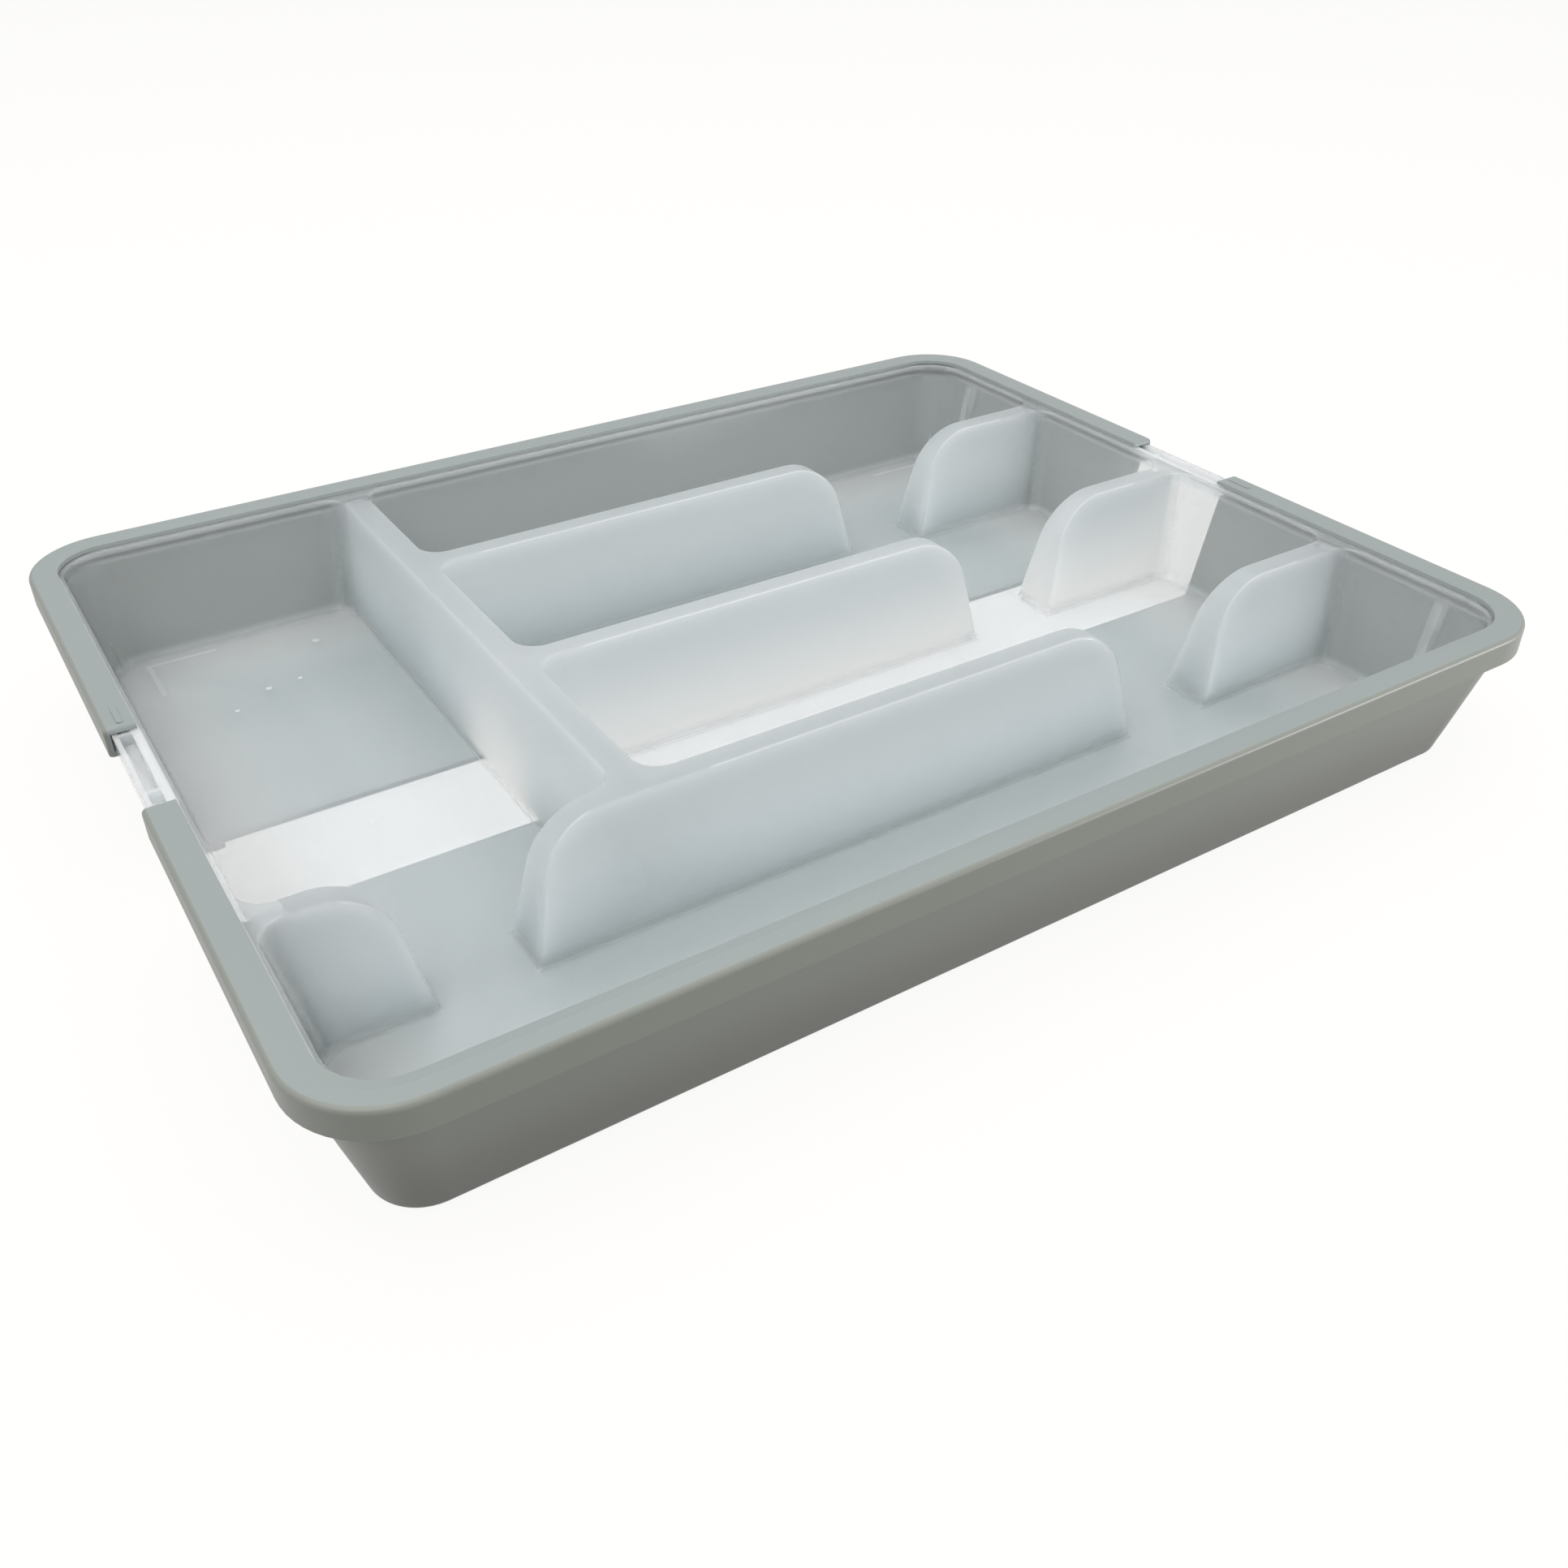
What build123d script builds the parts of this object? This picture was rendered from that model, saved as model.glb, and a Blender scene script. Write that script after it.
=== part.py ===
from build123d import *
import math
import os

# Extending cutlery tray in millimetres. X runs along the tray, -Y faces the user, +Z is up.
# The origin is the middle of the base, on the surface that the tray stands on.

# Overall sizes of the closed tray
length = 385.0
width = 305.0
height = 48.0
corner = 25.0
overrun = 2.0

# Rim of the two sliding shells: a channel of shelf, skirt and plate
plate_width = 8.7
plate_wall = 1.6
skirt_drop = 8.5
skirt_wall = 1.6
shelf_wall = 1.6
rim_round = 1.5
bevel_width = 3.1
bevel_drop = 0.35
opening_gap = 42.0
mark_length = 10.0
mark_width = 1.6
mark_rise = 0.3
mark_setback = 2.0

# Walls and floor of the sliding shells
shell_wall = 1.85
shell_foot_inset = 14.7
shell_head_inset = 4.5
shell_foot_corner = 13.5
shell_floor = 1.7
panel_rise = 1.9
panel_inset = 8.0
shell_foot_round = 2.4
shell_inner_round = 2.2
shell_end_round = 1.4

# Guide lug under each end of a shell's rim
lug_length = 4.0
lug_width = 2.2
lug_setback = 1.5
lug_clearance = 0.5

# Fits between the pieces
slide_clearance = 0.3

# Inner tray: basin, floor and the gutter round its rim
basin_wall = 1.45
basin_floor = 1.5
basin_foot_inset = 17.05
basin_head_inset = 10.2
basin_foot_corner = 10.0
basin_round = 1.2
gutter_lip = 1.5
gutter_floor = 1.5
crest_width = 3.5
crest_drop = 0.3
crest_round = 0.8

# Ridges that divide the tray
lane_pitch = 76.4
divider_foot = 17.4
divider_crest = 7.2
left_stub_reach = 31.0
right_stub_reach = 56.2
left_finger_gap = 26.5
right_finger_gap = 32.3
left_lane = 93.2
cross_ridge_foot = 19.0
cross_ridge_crest = 8.6
ridge_wall = 1.45
ridge_end_radius = 20.0
ridge_end_lean = 12.0
pocket_corner = 8.0

# Ribs of the inner tray: stops across the gutter, gussets under the flange, runners under the floor
stop_wall = 1.4
near_stop_setback = 1.0
far_stop_setback = 9.0
end_stop_inset = 27.0
gusset_width = 3.5
gusset_inset = 33.5
gusset_foot = 10.0
gusset_clearance = 0.7
runner_wall = 1.5
runner_arm = 23.0
runner_inset_x = 28.0
runner_inset_y = 21.0
runner_drop = 0.5

# Levels worked out from the sizes above
skirt_foot = height - skirt_drop
channel_floor = skirt_foot + shelf_wall
channel_roof = height - plate_wall
shell_floor_top = panel_rise + shell_floor
basin_under = shell_floor_top + slide_clearance + runner_drop
basin_top = basin_under + basin_floor
flange_under = channel_floor + slide_clearance
crest = channel_roof - crest_drop
gutter_bed = flange_under + gutter_floor
flange_inset = skirt_wall + slide_clearance
gutter_outer = flange_inset + gutter_lip
gutter_inner = basin_head_inset - crest_width
half_gap = opening_gap / 2
lug_inset = (gutter_outer + gutter_inner) / 2
lug_end = half_gap + lug_setback + lug_length
end_stop = width / 2 - end_stop_inset
travel = end_stop - stop_wall / 2 - slide_clearance - lug_end
shell_slope = (shell_foot_inset - shell_head_inset) / skirt_foot
basin_slope = (basin_foot_inset - basin_head_inset) / (crest - basin_top)
wall_foot = length / 2 - basin_foot_inset
left_stub_tip = left_stub_reach - wall_foot
right_stub_tip = wall_foot - right_stub_reach
divider_left = left_stub_tip + left_finger_gap
divider_right = right_stub_tip - right_finger_gap
cross_ridge_x = left_lane - wall_foot


def shell_inset(level):
    """Distance from the rim's outer edge to the outside of a shell's wall."""
    return shell_foot_inset - shell_slope * level


def basin_inset(level):
    """Distance from the rim's outer edge to the inside of the inner tray's wall."""
    return basin_foot_inset - basin_slope * (level - basin_top)


def plan(level, inset, radius):
    """A rounded rectangle that lies inset from the closed tray's outline."""
    with BuildSketch(Plane.XY.offset(level)) as outline:
        RectangleRounded(length - 2 * inset, width - 2 * inset, radius)
    return outline.sketch


def tapered(low, low_inset, low_corner, high, high_inset, high_corner):
    """A block whose four walls lean outwards from the low level to the high one."""
    with BuildPart() as block:
        add(plan(low, low_inset, low_corner))
        add(plan(high, high_inset, high_corner))
        loft(ruled=True)
    return block.part


# Room inside a shell, above its floor and up to the shelf of its rim
shell_head_corner = corner - shell_head_inset
with BuildPart() as shell_room:
    add(tapered(shell_floor_top, shell_inset(shell_floor_top) + shell_wall, shell_foot_corner - shell_wall,
                channel_floor, shell_inset(channel_floor) + shell_wall, shell_head_corner - shell_wall))
    fillet(shell_room.faces().sort_by(Axis.Z)[0].edges(), shell_inner_round)

# Sliding shell: one moulding, used for the front and, turned round, for the rear
with BuildPart() as front_shell:
    add(tapered(0, shell_foot_inset, shell_foot_corner, skirt_foot, shell_head_inset, shell_head_corner))
    fillet(front_shell.faces().sort_by(Axis.Z)[0].edges(), shell_foot_round)
    with BuildSketch(Plane.XY.offset(skirt_foot)):
        RectangleRounded(length, width, corner)
    extrude(amount=skirt_drop)
    fillet(front_shell.faces().sort_by(Axis.Z)[-1].outer_wire().edges(), rim_round)
    add(shell_room.part, mode=Mode.SUBTRACT)
    # Channel of the rim, between shelf and plate
    with BuildSketch(Plane.XY.offset(channel_floor)):
        RectangleRounded(length - 2 * skirt_wall, width - 2 * skirt_wall, corner - skirt_wall)
    extrude(amount=channel_roof - channel_floor, mode=Mode.SUBTRACT)
    # Plate on top, thinner along its inner edge
    with BuildSketch(Plane.XY.offset(channel_roof)):
        RectangleRounded(length - 2 * plate_width, width - 2 * plate_width, corner - plate_width)
    extrude(amount=plate_wall, mode=Mode.SUBTRACT)
    plate_top = front_shell.faces().sort_by(Axis.Z)[-1]
    chamfer(plate_top.inner_wires()[0].edges(), bevel_width, bevel_drop, reference=plate_top)
    # The underside is recessed, so that the shell stands on a band under its walls
    with BuildSketch():
        RectangleRounded(length - 2 * (shell_foot_inset + panel_inset),
                         width - 2 * (shell_foot_inset + panel_inset), shell_foot_corner - panel_inset / 2)
    extrude(amount=panel_rise, mode=Mode.SUBTRACT)
    # Open end of the shell
    with BuildSketch(Plane.XY.offset(-overrun)):
        with Locations((0, width / 2 - half_gap)):
            Rectangle(length + 2 * overrun, width)
    extrude(amount=height + 2 * overrun, mode=Mode.SUBTRACT)
    fillet(front_shell.edges().filter_by(Axis.Z).group_by(Axis.Y)[-1].filter_by(
        lambda edge: abs(edge.center().X) > length / 2 - skirt_wall / 2), shell_end_round)
    # Lugs that run in the inner tray's gutter
    with BuildSketch(Plane.XY.offset(gutter_bed + lug_clearance)):
        with Locations(*[(side * (length / 2 - lug_inset), -half_gap - lug_setback - lug_length / 2)
                         for side in (-1, 1)]):
            SlotOverall(lug_length, lug_width, rotation=90)
    extrude(amount=channel_roof - gutter_bed - lug_clearance)
    # Raised mark on the plate, at one end only
    with BuildSketch(Plane.XY.offset(channel_roof)):
        with Locations((length / 2 - lug_inset, -half_gap - mark_setback - mark_length / 2)):
            SlotOverall(mark_length, mark_width, rotation=90)
    extrude(amount=plate_wall + mark_rise)

with BuildPart() as rear_shell:
    add(front_shell.part.rotate(Axis.Z, 180))


# Ridges: tapered walls with a flat crest, rounded down to the floor at a free end
def across(size_at_floor, size_at_crest, level):
    """Half the thickness of a ridge at a level."""
    slope = (size_at_floor - size_at_crest) / (crest - basin_top)
    return (size_at_floor - slope * (level - basin_top)) / 2


def ridge(start, end, line, foot_size, crest_size, free_start, free_end, turned=False, skin=0.0):
    """A ridge along X, or along Y when turned. A skin makes it that much smaller all round."""
    low = basin_under - (overrun if skin else 0)
    high = crest - skin
    radius = ridge_end_radius - skin
    lean = math.radians(ridge_end_lean)
    rise = basin_top - low
    side = Plane(origin=(line, 0, 0), x_dir=(0, 1, 0), z_dir=(1, 0, 0)) if turned else \
        Plane(origin=(0, line, 0), x_dir=(1, 0, 0), z_dir=(0, -1, 0))
    section = Plane(origin=(line, start, 0), x_dir=(-1, 0, 0), z_dir=(0, 1, 0)) if turned else \
        Plane(origin=(start, line, 0), x_dir=(0, 1, 0), z_dir=(1, 0, 0))
    foot_half = across(foot_size, crest_size, low) - skin
    crest_half = across(foot_size, crest_size, high) - skin

    def end_points(tip, inward):
        """Foot, start of the round, its middle and its top at a free end."""
        foot_at = tip + inward * (skin / math.cos(lean) - rise * math.tan(lean))
        bend = high - radius * (1 - math.sin(lean))
        bend_at = foot_at + inward * (bend - low) * math.tan(lean)
        middle = (math.pi / 2 - lean) / 2 + lean
        centre = bend_at + inward * radius * math.cos(lean)
        return [(foot_at, low), (bend_at, bend),
                (centre - inward * radius * math.cos(middle), high - radius * (1 - math.sin(middle))),
                (centre, high)]

    with BuildPart() as body:
        with BuildSketch(side):
            with BuildLine():
                if free_start:
                    foot, bend, middle, top = end_points(start, 1)
                    Line(foot, bend)
                    ThreePointArc(bend, middle, top)
                else:
                    foot, top = (start, low), (start, high)
                    Line(foot, top)
                if free_end:
                    last_foot, last_bend, last_middle, last_top = end_points(end, -1)
                    Line(top, last_top)
                    ThreePointArc(last_top, last_middle, last_bend)
                    Line(last_bend, last_foot)
                else:
                    last_foot = (end, low)
                    Line(top, (end, high))
                    Line((end, high), last_foot)
                Line(last_foot, foot)
            make_face()
        extrude(amount=foot_size, both=True)
        with BuildSketch(section.offset(-overrun)):
            with BuildLine():
                Polyline((-foot_half, low), (foot_half, low),
                         (crest_half, high), (-crest_half, high), close=True)
            make_face()
        extrude(amount=end - start + 2 * overrun, mode=Mode.INTERSECT)
    return body.part


beyond = length / 2
back_wall = width / 2
lanes = [-lane_pitch, 0, lane_pitch]
# Each ridge: start, end, line, foot, crest, free at the start, free at the end, turned
ridges = [
    (divider_left, divider_right, lanes[0], divider_foot, divider_crest, True, True, False),
    (cross_ridge_x, divider_right, lanes[1], divider_foot, divider_crest, False, True, False),
    (cross_ridge_x, divider_right, lanes[2], divider_foot, divider_crest, False, True, False),
    (lanes[0], back_wall, cross_ridge_x, cross_ridge_foot, cross_ridge_crest, False, False, True),
    (-beyond, left_stub_tip, lanes[0], divider_foot, divider_crest, False, True, False),
] + [(right_stub_tip, beyond, lane, divider_foot, divider_crest, True, False, False) for lane in lanes]


def upright(edge):
    """True for an edge from the basin's floor up to its crest, away from the basin's own corners."""
    box = edge.bounding_box()
    whole = box.min.Z < basin_top + slide_clearance and box.max.Z > crest - slide_clearance
    in_corner = (abs(edge.center().X) > length / 2 - basin_foot_inset - basin_foot_corner / 2
                 and abs(edge.center().Y) > width / 2 - basin_foot_inset - basin_foot_corner / 2)
    return whole and not in_corner


# Room inside the basin: one cavity round the ridges, with rounds in its corners and along its floor
basin_head_corner = corner - basin_head_inset
with BuildPart() as pockets:
    add(tapered(basin_top, basin_foot_inset, basin_foot_corner, crest, basin_head_inset, basin_head_corner))
    for values in ridges:
        add(ridge(*values), mode=Mode.SUBTRACT)
    fillet(pockets.edges().filter_by(upright), pocket_corner)
    fillet(pockets.faces().sort_by(Axis.Z)[0].edges(), basin_round)

# Hollows under the ridges, open below
with BuildPart() as hollows:
    for values in ridges:
        add(ridge(*values, skin=ridge_wall))
    add(tapered(basin_under - overrun, basin_inset(basin_under) + ridge_wall,
                basin_foot_corner - ridge_wall, crest, basin_head_inset + ridge_wall,
                basin_head_corner - ridge_wall), mode=Mode.INTERSECT)

# Inner tray
with BuildPart() as divided_tray:
    # Basin with leaning walls
    add(tapered(basin_under, basin_inset(basin_under) - basin_wall, basin_foot_corner + basin_wall,
                crest, basin_head_inset - basin_wall, basin_head_corner + basin_wall))
    # Flange that the shells' channels hold, with a gutter in its top
    with BuildSketch(Plane.XY.offset(flange_under)):
        RectangleRounded(length - 2 * flange_inset, width - 2 * flange_inset, corner - flange_inset)
    extrude(amount=crest - flange_under)
    with BuildSketch(Plane.XY.offset(gutter_bed)):
        RectangleRounded(length - 2 * gutter_outer, width - 2 * gutter_outer, corner - gutter_outer)
        RectangleRounded(length - 2 * gutter_inner, width - 2 * gutter_inner, corner - gutter_inner,
                         mode=Mode.SUBTRACT)
    extrude(amount=crest - gutter_bed, mode=Mode.SUBTRACT)
    add(pockets.part, mode=Mode.SUBTRACT)
    crest_face = divided_tray.faces().filter_by(Axis.Z).group_by(Axis.Z)[-1].sort_by(SortBy.AREA)[-1]
    crest_edges = crest_face.inner_wires().edges()
    across_ends = crest_edges.filter_by(Axis.Y).filter_by(lambda edge: edge.length < divider_foot)
    crest_edges = [edge for edge in crest_edges if edge not in across_ends]
    fillet(crest_edges, crest_round)
    add(hollows.part, mode=Mode.SUBTRACT)
    # Stops across the gutter: two near the middle of each side and one near each corner
    with BuildSketch(Plane.XY.offset(flange_under)):
        for side in (-1, 1):
            near_stop = half_gap - near_stop_setback
            far_stop = half_gap - far_stop_setback
            for place in (-side * near_stop, side * far_stop, -end_stop, end_stop):
                with Locations((side * (length / 2 - lug_inset), place)):
                    Rectangle(gutter_inner - gutter_outer + gutter_lip, stop_wall)
    extrude(amount=crest - flange_under)
    # Gussets under the flange, on the side walls
    for end in (-1, 1):
        with BuildSketch(Plane(origin=(0, end * (width / 2 - gusset_inset), 0), x_dir=(1, 0, 0), z_dir=(0, -1, 0))):
            for side in (-1, 1):
                foot_at = basin_inset(gusset_foot) - basin_wall
                head_at = shell_inset(flange_under) + shell_wall + gusset_clearance
                back_at = basin_inset(flange_under) - basin_wall / 2
                with BuildLine():
                    Polyline((side * (length / 2 - foot_at), gusset_foot),
                             (side * (length / 2 - head_at), flange_under),
                             (side * (length / 2 - back_at), flange_under),
                             (side * (length / 2 - foot_at - basin_wall / 2), gusset_foot), close=True)
                make_face()
        extrude(amount=gusset_width / 2, both=True)
    # Runners under the corners, on which the tray slides over the shells' floors
    with BuildSketch(Plane.XY.offset(basin_under - runner_drop)):
        for side in (-1, 1):
            for end in (-1, 1):
                corner_x = side * (length / 2 - runner_inset_x)
                corner_y = end * (width / 2 - runner_inset_y)
                with Locations((corner_x - side * runner_arm / 2, corner_y)):
                    Rectangle(runner_arm + runner_wall, runner_wall)
                with Locations((corner_x, corner_y - end * runner_arm / 2)):
                    Rectangle(runner_wall, runner_arm + runner_wall)
    extrude(amount=runner_drop + basin_floor / 2)

divided_tray.part.label = "divided_tray"
front_shell.part.label = "front_shell"
rear_shell.part.label = "rear_shell"

os.makedirs("parts", exist_ok=True)
for piece in (divided_tray, front_shell, rear_shell):
    export_step(piece.part, "parts/" + piece.part.label + ".step")
print("Each shell slides", round(travel, 2), "mm")
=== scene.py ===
import math

import bmesh
import bpy
from mathutils import Matrix, Vector


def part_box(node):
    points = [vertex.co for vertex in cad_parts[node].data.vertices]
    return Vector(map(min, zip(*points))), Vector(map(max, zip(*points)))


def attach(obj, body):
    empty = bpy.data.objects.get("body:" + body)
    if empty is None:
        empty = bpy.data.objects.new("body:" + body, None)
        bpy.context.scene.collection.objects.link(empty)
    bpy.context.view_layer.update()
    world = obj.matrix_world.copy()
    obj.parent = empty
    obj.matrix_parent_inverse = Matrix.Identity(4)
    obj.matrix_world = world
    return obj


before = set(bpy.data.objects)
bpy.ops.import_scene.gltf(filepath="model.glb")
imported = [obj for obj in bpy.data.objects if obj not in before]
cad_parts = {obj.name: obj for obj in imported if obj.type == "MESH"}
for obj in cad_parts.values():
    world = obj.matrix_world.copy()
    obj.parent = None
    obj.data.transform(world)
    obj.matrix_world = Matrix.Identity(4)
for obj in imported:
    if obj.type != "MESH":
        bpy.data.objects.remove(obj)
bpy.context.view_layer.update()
scene = bpy.context.scene
scene.view_settings.view_transform = "Standard"

# Camera: a phone's eye view from the near left, about a forearm's length away from the tray. It stands
# where the photograph was taken from, and its frame is square.
camera_place = (-0.21875, -0.36062, 0.26035)
turned_right = 32.494
looking_down = 34.438
roll = -0.277
camera_data = bpy.data.cameras.new("camera")
camera_data.lens = 33.99
camera_data.sensor_width = 36.0
camera_data.clip_start = 0.01
camera = bpy.data.objects.new("camera", camera_data)
scene.collection.objects.link(camera)
camera.location = camera_place
aim = (Matrix.Rotation(math.radians(-turned_right), 3, "Z")
       @ Matrix.Rotation(math.radians(90 - looking_down), 3, "X")
       @ Matrix.Rotation(math.radians(roll), 3, "Z"))
camera.rotation_euler = aim.to_euler()
scene.camera = camera


# Table top: the plain white surface that the tray stands on, which runs out into the white background.
# It glows white to the camera, in gloss and through the clear plastic, and its glow lights nothing.
class Socket:
    """An output of a shader node. Sums with it add Math nodes."""

    def __init__(self, paint, out):
        self.paint = paint
        self.out = out

    def sum(self, operation, *values):
        return self.paint.node("ShaderNodeMath", {"operation": operation}, Value=list(values))

    def __add__(self, other):
        return self.sum("ADD", self, other)

    def __radd__(self, other):
        return self.sum("ADD", other, self)

    def __sub__(self, other):
        return self.sum("SUBTRACT", self, other)

    def __rsub__(self, other):
        return self.sum("SUBTRACT", other, self)

    def __mul__(self, other):
        return self.sum("MULTIPLY", self, other)

    def __rmul__(self, other):
        return self.sum("MULTIPLY", other, self)

    def __abs__(self):
        return self.sum("ABSOLUTE", self)


class Paint:
    """The nodes of a material or a world."""

    def __init__(self, owner):
        self.owner = owner
        owner.use_nodes = True
        self.tree = owner.node_tree
        self.tree.nodes.clear()

    def node(self, kind, settings=(), out=(), **values):
        """Adds a node, its settings first and then its sockets. Gives its first output, or those in out."""
        made = self.tree.nodes.new(kind)
        for key, value in dict(settings).items():
            setattr(made, key, value)
        for key, value in values.items():
            wanted = key.replace("_", " ").lower()
            same = [socket for socket in made.inputs if socket.name.lower() == wanted and socket.enabled]
            for socket, each in zip(same, value if isinstance(value, list) else [value]):
                if isinstance(each, Socket):
                    self.tree.links.new(each.out, socket)
                else:
                    socket.default_value = each
        if out:
            return [Socket(self, made.outputs[name]) for name in out]
        return Socket(self, next(socket for socket in made.outputs if socket.enabled))

    def split(self, vector):
        """The three numbers of a vector."""
        return self.node("ShaderNodeSeparateXYZ", out=["X", "Y", "Z"], Vector=vector)

    def blend(self, factor, one, other):
        """The first colour where the factor is 0 and the other colour where it is 1."""
        return self.node("ShaderNodeMix", {"data_type": "RGBA"}, Factor=factor, A=one, B=other)

    def rise(self, value, low, high):
        """0 below the low value and 1 above the high one, with a smooth step between."""
        return self.node("ShaderNodeMapRange", {"interpolation_type": "SMOOTHSTEP"},
                         Value=value, From_Min=low, From_Max=high)

    def either(self, one, *others):
        """The largest of the values."""
        for other in others:
            one = self.node("ShaderNodeMath", {"operation": "MAXIMUM"}, Value=[one, other])
        return one

    def finish(self, surface, kind="ShaderNodeOutputMaterial"):
        """The material or the world, with this surface."""
        output = self.tree.nodes.new(kind)
        self.tree.links.new(surface.out, output.inputs["Surface"])
        return self.owner


table_radius = 4.0
table_drop = 0.0003
table_paint = Paint(bpy.data.materials.new("white_table"))
to_camera, to_gloss, through_clear = table_paint.node(
    "ShaderNodeLightPath", out=["Is Camera Ray", "Is Glossy Ray", "Is Transmission Ray"])
seen = table_paint.either(to_camera, to_gloss, through_clear)
matt = table_paint.node("ShaderNodeBsdfDiffuse", Color=(0.08, 0.07, 0.055, 1))
bright = table_paint.node("ShaderNodeEmission", Color=(1, 1, 1, 1), Strength=0.92)
lit = table_paint.node("ShaderNodeAddShader", Shader=[matt, bright])
white_table = table_paint.finish(table_paint.node("ShaderNodeMixShader", Fac=seen, Shader=[matt, lit]))

table_mesh = bmesh.new()
bmesh.ops.create_circle(table_mesh, cap_ends=True, segments=96, radius=table_radius)
table_data = bpy.data.meshes.new("table_top")
table_mesh.to_mesh(table_data)
table_mesh.free()
table_data.transform(Matrix.Translation((0, 0, -table_drop)))
table_data.materials.append(white_table)
table_top = bpy.data.objects.new("table_top", table_data)
scene.collection.objects.link(table_top)

# Light: a white room, with a wide soft lamp high on the left, a dimmer one overhead, and a small one on
# the right, low over the table, which lights the right end of the front wall. A long window behind the
# tray and a thin one on the right give the small glints along the edges.
room_paint = Paint(bpy.data.worlds.new("white_room"))
behind = room_paint.node("ShaderNodeBackground", Color=(1, 1, 1, 1), Strength=1.0)
room = room_paint.node("ShaderNodeBackground", Color=(0.97, 0.99, 1.0, 1), Strength=0.65)
to_camera = room_paint.node("ShaderNodeLightPath", out=["Is Camera Ray"])[0]
sky = room_paint.node("ShaderNodeMixShader", Fac=to_camera, Shader=[room, behind])
scene.world = room_paint.finish(sky, "ShaderNodeOutputWorld")


def lamp(name, place, size, power):
    """A rectangular lamp that points at the tray."""
    data = bpy.data.lights.new(name, "AREA")
    data.shape = "RECTANGLE"
    data.size, data.size_y = size
    data.energy = power
    made = bpy.data.objects.new(name, data)
    made.location = place
    made.rotation_euler = (-Vector(place)).to_track_quat("-Z", "Y").to_euler()
    scene.collection.objects.link(made)


lamp("left_lamp", place=(-0.70, -0.30, 1.35), size=(1.2, 1.2), power=10)
lamp("low_lamp", place=(0.60, -0.62, 0.06), size=(0.35, 0.10), power=2.4)
lamp("ceiling_lamp", place=(0, 0, 1.3), size=(1.4, 1.4), power=1.5)
lamp("right_window", place=(0.55, -0.25, 1.0), size=(1.0, 0.03), power=1.5)
lamp("rear_window", place=(0.1, 0.72, 1.15), size=(1.6, 0.5), power=3)

# Grey shells: two mouldings of light grey polypropylene, satin all over from the spark-eroded mould. Their
# inside faces and floors are painted lighter, painted light for the light the tray takes from them, and
# their outsides are painted darker, painted shade, most of all at the foot by the table.
light_grey = (0.304, 0.336, 0.329, 1)
deep_grey = (0.284, 0.316, 0.309, 1)
# Painted light: the inside and floor greys are lighter for the light the tray takes from them.
inside_painted_light_grey = (0.36, 0.387, 0.374, 1)
floor_painted_light_grey = (0.383, 0.418, 0.408, 1)
# Painted shade: the outsides are darker, and darker still at the foot by the table.
outside_painted_shade_grey = (0.262, 0.276, 0.246, 1)
foot_painted_shade_grey = (0.148, 0.154, 0.134, 1)
satin = 0.36
satin_spread = 0.08
facing_away = (0.02, 0.05)
nearly_level = (0.5, 0.8)
shell_floor_end = (0.008, 0.012)
foot_to_rim = (0.002, 0.036)

shell_paint = Paint(bpy.data.materials.new("grey_shell"))
facing, place = shell_paint.node("ShaderNodeTexCoord", out=["Normal", "Object"])
x, y, z = shell_paint.split(place)
to_side, to_end, upward = shell_paint.split(facing)
outward = x * to_side + y * to_end
grain = shell_paint.node("ShaderNodeTexNoise", Vector=place, Scale=1400.0, Detail=2.0, Roughness=0.6)
cloud = shell_paint.node("ShaderNodeTexNoise", Vector=place, Scale=18.0, Detail=3.0, Roughness=0.5)
inside = shell_paint.rise(-1 * outward, *facing_away)
outside = shell_paint.rise(outward, *facing_away)
shell_floor = shell_paint.rise(upward, *nearly_level) * (1 - shell_paint.rise(z, *shell_floor_end))
tone = shell_paint.blend(cloud, deep_grey, light_grey)
# Painted light on the inside faces and on the floor of the shells.
tone = shell_paint.blend(inside, tone, inside_painted_light_grey)
tone = shell_paint.blend(shell_floor, tone, floor_painted_light_grey)
# Painted shade on the outsides, darkest at the foot.
painted_shade_outside_tone = shell_paint.blend(shell_paint.rise(z, *foot_to_rim), foot_painted_shade_grey, outside_painted_shade_grey)
tone = shell_paint.blend(outside, tone, painted_shade_outside_tone)
skin = shell_paint.node("ShaderNodeBump", Strength=0.12, Distance=0.0002, Height=grain)
grey_shell = shell_paint.finish(shell_paint.node(
    "ShaderNodeBsdfPrincipled", Base_Color=tone, Roughness=cloud * satin_spread + satin, Normal=skin))
for name in ("front_shell", "rear_shell"):
    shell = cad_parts[name]
    shell.data.materials.clear()
    shell.data.materials.append(grey_shell)

# Inner tray: one moulding of natural polypropylene, milky and see-through. It is clearest where it lies
# flat on the shells, the folded ridges glow with light through them and with painted light, and the rim and
# flange are milkiest.
tray_low, tray_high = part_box("divided_tray")
flange_x, flange_y, tray_top = tray_high
runner_and_floor = 0.0020
floor_level = tray_low[2] + runner_and_floor
basin_inset = 0.0166
basin_x = flange_x - basin_inset
basin_y = flange_y - basin_inset
tray_paint = Paint(bpy.data.materials.new("frosted_tray"))
facing, place = tray_paint.node("ShaderNodeTexCoord", out=["Normal", "Object"])
x, y, z = tray_paint.split(place)
to_side, to_end, upward = tray_paint.split(facing)

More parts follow.
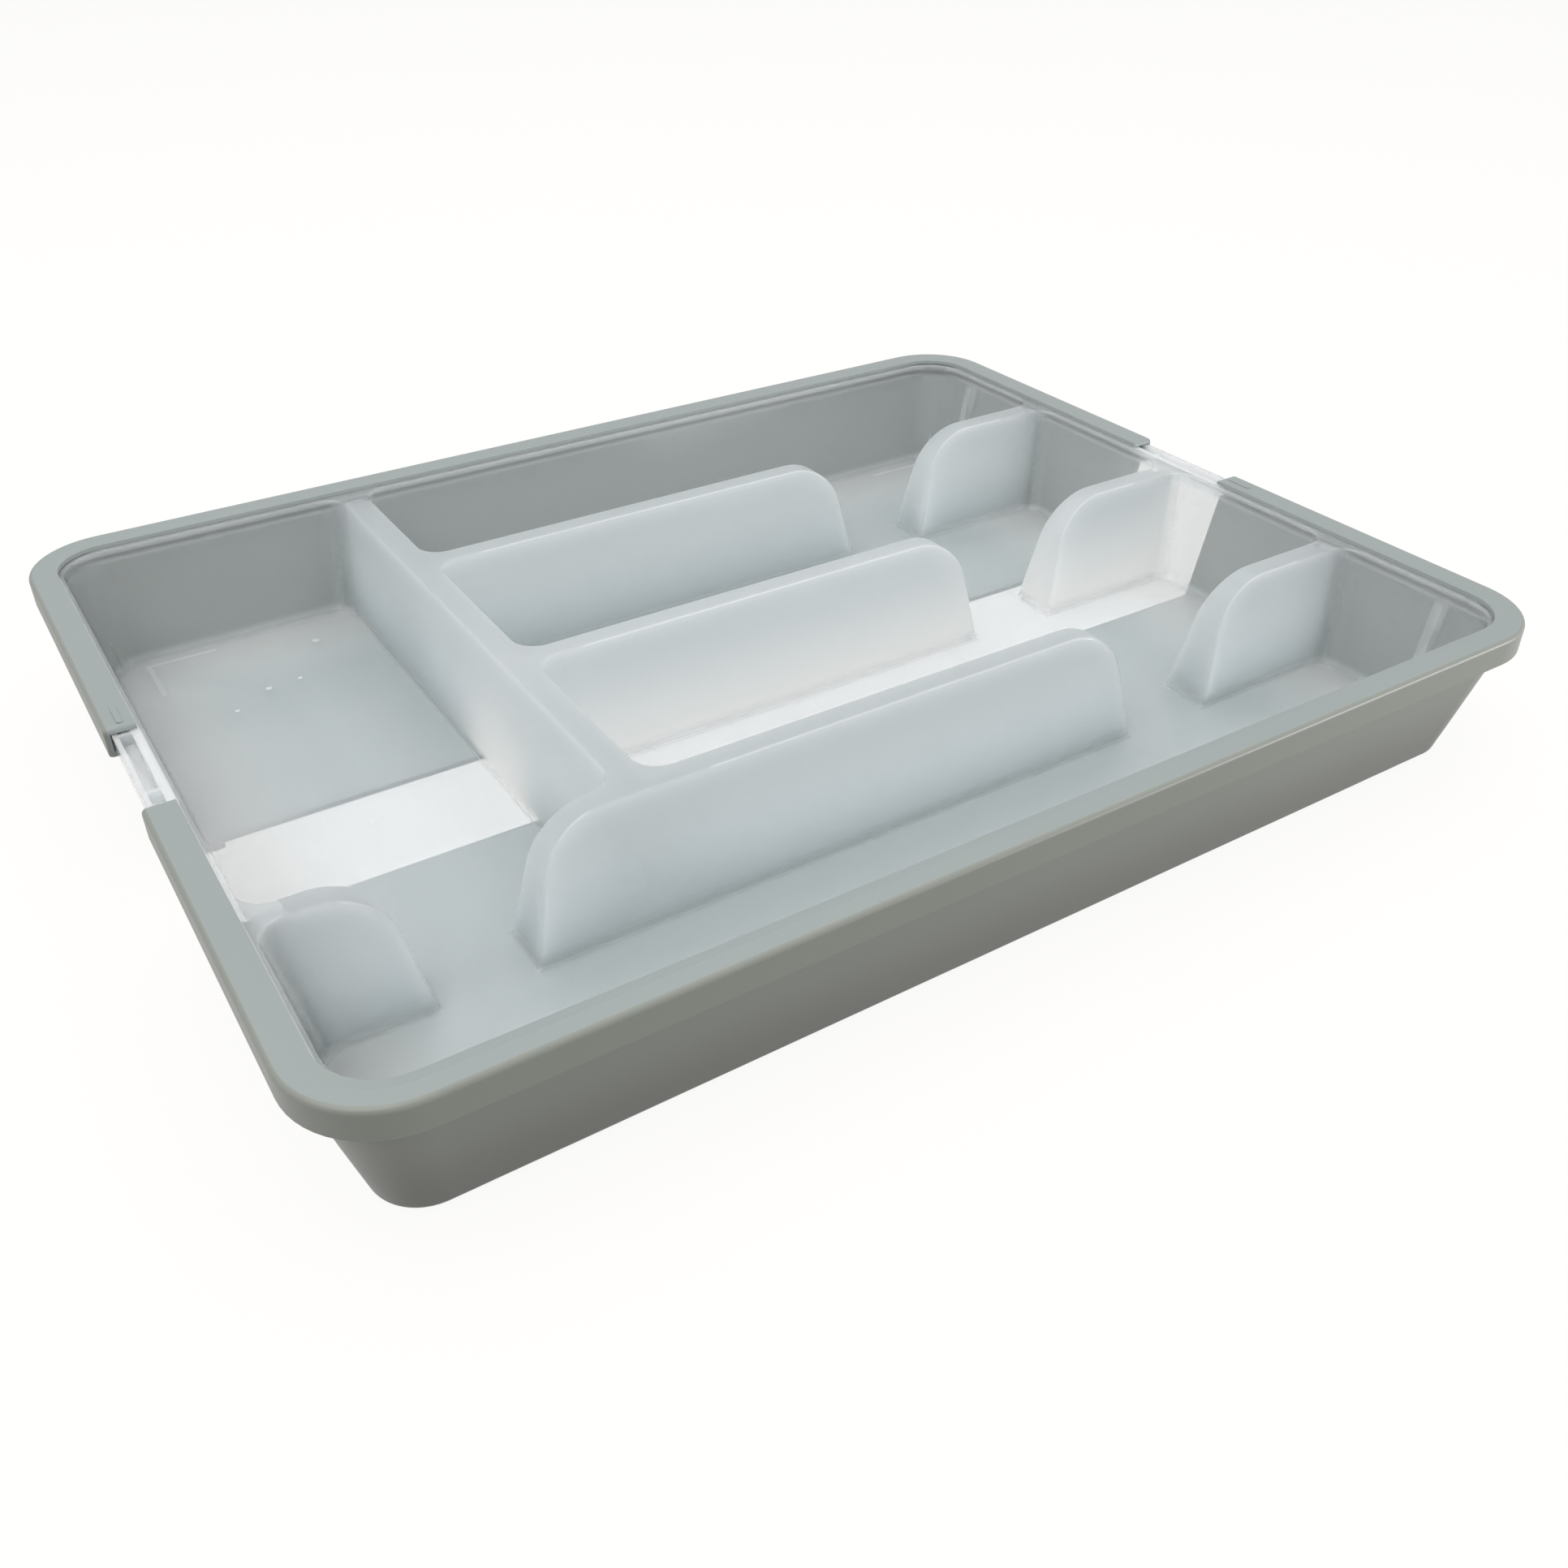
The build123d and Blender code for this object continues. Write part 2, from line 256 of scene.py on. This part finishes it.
# The leaning walls, and the ridges that stand free of them. A ridge face that ends at a wall isn't wall.
floor_round = (floor_level + 0.0006, floor_level + 0.0046)
side_wall_start = (basin_x - 0.0010, basin_x + 0.0005)
end_wall_start = (basin_y - 0.0010, basin_y + 0.0005)
ridge_face = (0.5, 0.8)
past_ridges_x = (0.092, 0.100)
past_ridges_y = (0.088, 0.095)
off_floor = tray_paint.rise(z, *floor_round)
side_wall = tray_paint.rise(abs(x), *side_wall_start) * tray_paint.either(
    1 - tray_paint.rise(abs(to_end), *ridge_face), tray_paint.rise(abs(y), *past_ridges_y))
end_wall = tray_paint.rise(abs(y), *end_wall_start) * tray_paint.either(
    1 - tray_paint.rise(abs(to_side), *ridge_face), tray_paint.rise(abs(x), *past_ridges_x))
ridges = off_floor * (1 - side_wall) * (1 - end_wall)

# The gussets and the L-shaped runners under the corners show through. The runners' lighter lines are painted
# highlights over real runners; the gussets take the ridges' tone, with its painted light at the foot.
gusset_y = 0.119
gusset_half = (0.0012, 0.0020)
gusset_foot = (floor_level + 0.0036, floor_level + 0.0051)
gusset_head = (tray_top - 0.0056, tray_top - 0.0041)
runner_x = basin_x - 0.0095
runner_y = basin_y - 0.0025
runner_arm = 0.0230
runner_tip = 0.0005
runner_half = (0.0006, 0.0010)
runner_corner = (0.0007, 0.0011)
gussets = (side_wall * (1 - tray_paint.rise(abs(abs(y) - gusset_y), *gusset_half))
           * tray_paint.rise(z, *gusset_foot) * (1 - tray_paint.rise(z, *gusset_head)))


def runner_leg(along, corner, across, line):
    """One leg of each of the four runners: it follows the line and ends at the corner."""
    on_line = 1 - tray_paint.rise(abs(abs(across) - line), *runner_half)
    past_tip = tray_paint.rise(abs(along), corner - runner_arm, corner - runner_arm + runner_tip)
    past_corner = tray_paint.rise(abs(along), *(corner + edge for edge in runner_corner))
    return on_line * past_tip * (1 - past_corner)


runners = (1 - off_floor) * tray_paint.either(runner_leg(x, runner_x, y, runner_y),
                                              runner_leg(y, runner_y, x, runner_x))


# The rounds along the ridges' crests and ends, and those at the feet of ridges and walls, get a painted
# highlight.
def rounding(share):
    """0 on a face that looks along the share's axis or across it, and 1 halfway between, on a round."""
    return 2 * abs(share) * tray_paint.node("ShaderNodeMath", {"operation": "SQRT"}, Value=1 - share * share)


ridge_round = (0.55, 0.90)
ridge_foot = (floor_level + 0.0031, floor_level + 0.0051)
ridges_end_y = (0.115, 0.120)
right_span_start = (-0.064, -0.060)
right_span_end = (0.158, 0.162)
left_span_start = (-0.164, -0.160)
left_span_end = (-0.100, -0.096)
foot_round = (0.45, 0.80)
foot_start = (floor_level + 0.0001, floor_level + 0.0005)
foot_end = (floor_level + 0.0041, floor_level + 0.0071)
free_spans = tray_paint.either(
    tray_paint.rise(x, *right_span_start) * (1 - tray_paint.rise(x, *right_span_end)),
    tray_paint.rise(x, *left_span_start) * (1 - tray_paint.rise(x, *left_span_end)))
edges = (tray_paint.rise(rounding(to_end), *ridge_round) * free_spans
         * (1 - tray_paint.rise(abs(y), *ridges_end_y)) * tray_paint.rise(z, *ridge_foot))
feet = (tray_paint.rise(rounding(upward), *foot_round) * tray_paint.rise(z, *foot_start)
        * (1 - tray_paint.rise(z, *foot_end)))

# The plastic looks milkier in the rim, in the flange and in the floor near the walls, where the floor also
# has painted light.
rim_height = (tray_top - 0.0026, tray_top - 0.0006)
flange_width = 0.0076
flange_edge = 0.0006
near_side_wall = (basin_x - 0.044, basin_x)
near_end_wall = (basin_y - 0.042, basin_y)
ridge_height = (floor_level + 0.0081, tray_top - 0.0001)
level_crest = (0.6, 0.95)
rim = tray_paint.rise(z, *rim_height)
flange = tray_paint.either(
    tray_paint.rise(abs(x), flange_x - flange_width, flange_x - flange_width + flange_edge),
    tray_paint.rise(abs(y), flange_y - flange_width, flange_y - flange_width + flange_edge))
near_walls = (1 - off_floor) * tray_paint.either(tray_paint.rise(abs(x), *near_side_wall),
                                                 tray_paint.rise(abs(y), *near_end_wall))
height = tray_paint.rise(z, *ridge_height)
crests = off_floor * tray_paint.rise(upward, *level_crest)

# How clear the plastic is at its clearest, and the share of that which each place loses
clear = 0.69
for milkier, loss in ((rim, 0.15), (ridges, 0.15), (gussets, 0.25), (edges, 0.35), (runners, 0.25),
                      (flange, 0.5), (feet, 0.1), (near_walls, 0.25)):
    clear = clear * (1 - milkier * loss)

floor_tone = (0.76, 0.83, 0.855, 1)
painted_light_floor_tone = (0.92, 0.97, 0.98, 1)
painted_shade_wall_tone = (0.665, 0.692, 0.68, 1)
painted_light_ridge_foot_tone = (0.93, 0.952, 0.955, 1)
ridge_top_tone = (0.66, 0.690, 0.695, 1)
painted_shade_crest_tone = (0.54, 0.568, 0.575, 1)
highlight_and_milk_tone = (0.92, 0.96, 0.98, 1)
frost = 0.2
frost_spread = 0.06
# Share of the painted highlight given to the lines over the runners.
runner_highlight_share = 0.6
# Painted light: the floor near the walls is lighter, lifting the shade at their feet.
tone = tray_paint.blend(near_walls, floor_tone, painted_light_floor_tone)
# Painted shade: the walls get a darker tone than the floor.
tone = tray_paint.blend(off_floor, tone, painted_shade_wall_tone)
# Painted light: the ridges and gussets are lighter at the foot and darker towards the top.
tone = tray_paint.blend(tray_paint.either(ridges, gussets), tone,
                        tray_paint.blend(height, painted_light_ridge_foot_tone, ridge_top_tone))
# Painted shade: the level crests are darker than the faces.
tone = tray_paint.blend(crests, tone, painted_shade_crest_tone)
# Painted highlights on the rounds and over the runners; the flange is lighter as milkier plastic.
tone = tray_paint.blend(tray_paint.either(edges, feet, runners * runner_highlight_share, flange), tone, highlight_and_milk_tone)

milk = tray_paint.node("ShaderNodeTexNoise", Vector=place, Scale=30.0, Detail=3.0, Roughness=0.5)
wave = tray_paint.node("ShaderNodeTexNoise", Vector=place, Scale=220.0, Detail=1.0, Roughness=0.5)
grain = tray_paint.node("ShaderNodeTexNoise", Vector=place, Scale=1800.0, Detail=2.0, Roughness=0.6)
skin = tray_paint.node("ShaderNodeBump", Strength=0.02, Distance=0.0004, Height=wave)
skin = tray_paint.node("ShaderNodeBump", Strength=0.08, Distance=0.0002, Height=grain, Normal=skin)
plastic = tray_paint.node(
    "ShaderNodeBsdfPrincipled", {"subsurface_method": "RANDOM_WALK"},
    Base_Color=tone, Roughness=milk * frost_spread + frost, IOR=1.5, Alpha=1 - clear, Subsurface_Weight=1.0,
    Subsurface_Radius=(1, 1, 1), Subsurface_Scale=0.006, Coat_Weight=1.0, Coat_IOR=1.5,
    Coat_Roughness=0.03, Normal=skin)

# Light goes through the ridges, most at their feet, and over the gap between the shells its colour is
# painted whiter, painted light.
gap_half = (0.012, 0.034)
ridge_glow = 0.88
glow_lost_at_top = 0.45
foot_glow = 0.3
painted_light_over_gap = (1 - tray_paint.rise(abs(y), *gap_half)) * (1 - height)
cool_glow = tray_paint.node("ShaderNodeBsdfTranslucent", Color=(0.955, 0.970, 0.976, 1), Normal=skin)
# Painted light: the glow is whiter over the gap.
painted_light_white_glow = tray_paint.node("ShaderNodeBsdfTranslucent", Color=(0.990, 0.990, 0.985, 1), Normal=skin)
glow = tray_paint.node("ShaderNodeMixShader", Fac=painted_light_over_gap, Shader=[cool_glow, painted_light_white_glow])
glowing = tray_paint.either(ridges * (ridge_glow - height * glow_lost_at_top), feet * foot_glow)
frosted_tray = tray_paint.finish(tray_paint.node("ShaderNodeMixShader", Fac=glowing, Shader=[plastic, glow]))
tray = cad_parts["divided_tray"]
tray.data.materials.clear()
tray.data.materials.append(frosted_tray)

# Moulding marks: the nub where the plastic entered the mould, in the middle of the left compartment's
# floor, and the low round marks of the ejector pins. They are part of the inner tray's moulding, and their
# milky white colour is a painted highlight, for the glints that they catch.
faint_milk = (0.78, 0.84, 0.86, 1)
# Painted highlight: the dense milk stands in for the marks' glints.
painted_glint_milk = (0.95, 0.98, 1.0, 1)
mark_gloss = 0.12
mark_gloss_spread = 0.1
nub_height = 0.00010
pin_height = 0.00015
marks = (
    # place along X and Y, radius and height
    (-0.1310, 0.0013, 0.0007, nub_height),
    (-0.1340, 0.0948, 0.0011, pin_height),
    (-0.1230, 0.0960, 0.0008, pin_height),
    (-0.1470, 0.0860, 0.0009, pin_height),
    (-0.1100, 0.1190, 0.0014, pin_height),
)
mark_paint = Paint(bpy.data.materials.new("glint_painted_mark"))
place = mark_paint.node("ShaderNodeTexCoord", out=["Object"])[0]
cloud = mark_paint.node("ShaderNodeTexNoise", Vector=place, Scale=900.0, Detail=2.0, Roughness=0.5)
glint_painted_mark = mark_paint.finish(mark_paint.node(
    "ShaderNodeBsdfPrincipled", Base_Color=mark_paint.blend(cloud, faint_milk, painted_glint_milk),
    Roughness=cloud * mark_gloss_spread + mark_gloss, IOR=1.5, Alpha=0.5, Coat_Weight=1.0, Coat_IOR=1.5,
    Coat_Roughness=0.05))

mark_mesh = bmesh.new()
for across, along, radius, mark_height in marks:
    dot = bmesh.ops.create_uvsphere(mark_mesh, u_segments=24, v_segments=12, radius=radius)
    bmesh.ops.scale(mark_mesh, verts=dot["verts"], vec=(1, 1, mark_height / radius))
    bmesh.ops.translate(mark_mesh, verts=dot["verts"], vec=(across, along, floor_level))
for face in mark_mesh.faces:
    face.smooth = True
mark_data = bpy.data.meshes.new("moulding_marks")
mark_mesh.to_mesh(mark_data)
mark_mesh.free()
mark_data.materials.append(glint_painted_mark)
moulding_marks = bpy.data.objects.new("moulding_marks", mark_data)
scene.collection.objects.link(moulding_marks)
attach(moulding_marks, "tray")
